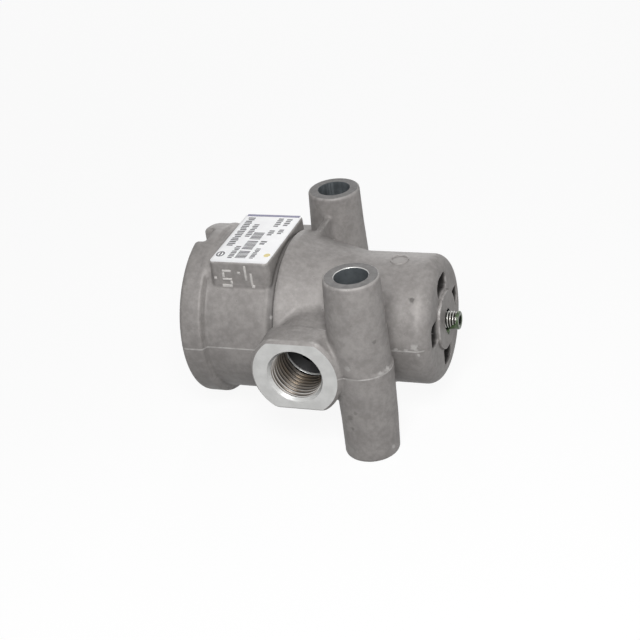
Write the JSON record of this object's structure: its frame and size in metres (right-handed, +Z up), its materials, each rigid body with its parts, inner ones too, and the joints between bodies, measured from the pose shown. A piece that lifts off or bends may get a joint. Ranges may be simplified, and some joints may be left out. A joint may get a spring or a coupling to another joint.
{
  "type": "pressure limiting valve",
  "caption": "Die-cast air pressure limiting valve with threaded ports on opposite sides, drilled fixing bosses, a vented spring end and an adjusting screw.",
  "frame": {"origin": "on the lower faces of the two fixing bosses, midway between their holes", "axes": "+Z up along the fixing bolts, +X along the main axis towards the adjusting screw, -Y towards the outlet port"},
  "size_m": [0.0764, 0.0706, 0.055],
  "materials": {
    "cast_aluminium": "as cast, tumbled",
    "machined_aluminium": "turned",
    "zinc_steel": "zinc plated",
    "spring_steel": "oiled",
    "brass": "turned",
    "rubber": "greased",
    "guide_plastic": "moulded",
    "label_film": "printed film"
  },
  "bodies": {
    "root": {"housing": "cast_aluminium", "label": "label_film", "end_cover": "machined_aluminium", "cover_o_ring": "rubber", "cover_snap_ring": "spring_steel", "valve_guide": "brass", "valve_spring": "spring_steel", "seat_insert": "brass", "seat_o_ring": "rubber", "seat_snap_ring": "spring_steel"},
    "valve": {"valve_poppet": "brass", "valve_facing": "rubber", "facing_rivet": "brass", "stem_o_ring": "rubber"},
    "piston": {"piston": "machined_aluminium", "piston_lip_seal": "rubber", "piston_guide_ring": "guide_plastic", "main_spring": "spring_steel"},
    "spring_seat": {"spring_seat": "zinc_steel"},
    "adjusting_screw": {"adjusting_screw": "zinc_steel"}
  },
  "joints": [
    {"name": "piston_slide", "type": "slide", "parent": "root", "child": "piston", "axis": [1, 0, 0], "range_m": [0, 0.0015], "stiffness_N_per_m": 1000, "deforming": ["main_spring"]},
    {"name": "valve_slide", "type": "slide", "parent": "root", "child": "valve", "axis": [1, 0, 0], "range_m": [0, 0.0015], "deforming": ["valve_spring"]},
    {"name": "seat_slide", "type": "slide", "parent": "root", "child": "spring_seat", "axis": [1, 0, 0], "range_m": [-0.0016, 0.0016], "deforming": ["main_spring"]},
    {"name": "screw_turn", "type": "hinge", "parent": "spring_seat", "child": "adjusting_screw", "pos_m": [0.02, 0, 0.0275], "axis": [1, 0, 0], "range_deg": [-721, 721]}
  ],
  "couplings": [
    {"joint": "valve_slide", "follows": "piston_slide", "ratio": 1},
    {"joint": "screw_turn", "follows": "seat_slide", "rad_per_m": 7854}
  ]
}
